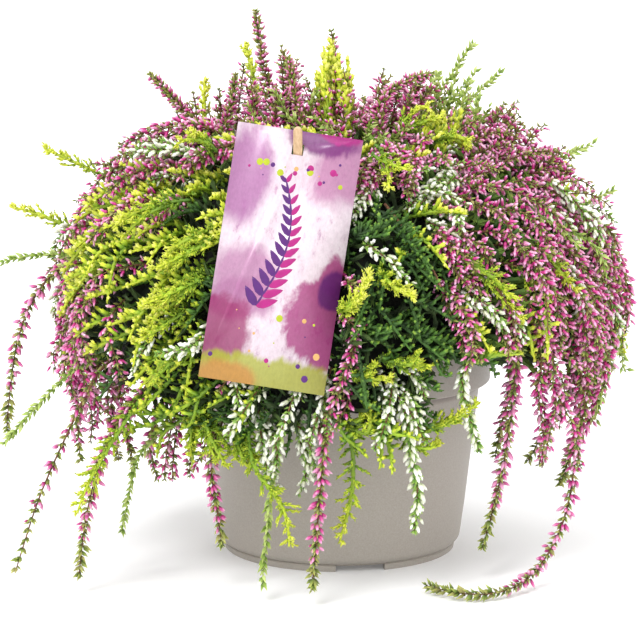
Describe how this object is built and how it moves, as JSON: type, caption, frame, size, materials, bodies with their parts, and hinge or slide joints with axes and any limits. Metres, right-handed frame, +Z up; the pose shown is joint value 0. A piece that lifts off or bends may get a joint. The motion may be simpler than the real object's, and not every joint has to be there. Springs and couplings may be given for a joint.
{
  "type": "potted heather",
  "caption": "Bushy trailing heather with pink, white and lime sprays in a round tapered plastic pot, with a tilted card label held by a flat wooden stake.",
  "frame": {"origin": "bottom centre of the bounding box, on the surface that the pot stands on; the pot's axis is 10 mm to +X and 3 mm to -Y of it", "axes": "+Z up; the label faces -Y; +X is to the right as seen from the label's side and is the plant's longest extent"},
  "size_m": [0.2666, 0.2481, 0.2321],
  "materials": {
    "pot": "matte",
    "soil": "matte",
    "label": "satin",
    "label_stake": "matte",
    "rose": "matte",
    "white": "matte",
    "gold": "matte",
    "green": "matte"
  },
  "bodies": {
    "root": {"pot": "pot", "soil": "soil", "label": "label", "label_stake": "label_stake", "bush_gold": "gold", "bush_rose": "rose", "bush_white": "white", "spray_tall_spike": "rose", "spray_top_left": "rose", "spray_crown_left": "rose", "spray_crown_front": "rose", "spray_arch": "rose", "spray_shoulder_right": "rose", "spray_side_right": "rose", "spray_side_back": "rose", "spray_right_low_front": "rose", "spray_right_low_side": "rose", "spray_right_low_mid": "rose", "spray_curling": "rose", "spray_front_right": "rose", "spray_front": "rose", "spray_front_left": "rose", "spray_left_long": "rose", "spray_left_front_long": "rose", "spray_left_front": "rose", "spray_left_cluster": "rose", "spray_left_low": "rose", "spray_left_low_back": "rose", "spray_back_crown_2": "rose", "spray_back_shoulder_1": "rose", "spray_back_shoulder_3": "rose", "spray_back_side_2": "rose", "spray_back_side_4": "rose", "spray_back_low_1": "rose", "spray_back_low_3": "rose", "spray_back_low_5": "rose", "spray_white_right": "white", "spray_white_front": "white", "spray_back_crown_1": "white", "spray_back_shoulder_4": "white", "spray_back_side_1": "white", "spray_back_low_2": "white", "spray_gold_top_left": "gold", "spray_gold_column": "gold", "spray_gold_right": "gold", "spray_gold_front": "gold", "spray_gold_left_high": "gold", "spray_gold_left_mid": "gold", "spray_back_crown_3": "gold", "spray_back_shoulder_2": "gold", "spray_back_low_4": "gold", "spray_green_high": "green", "spray_green_low": "green", "spray_green_shoulder": "green", "spray_green_side": "green", "spray_green_front": "green", "spray_green_left": "green", "spray_green_left_low": "green", "spray_green_left_front": "green", "spray_back_side_3": "green"}
  },
  "joints": []
}
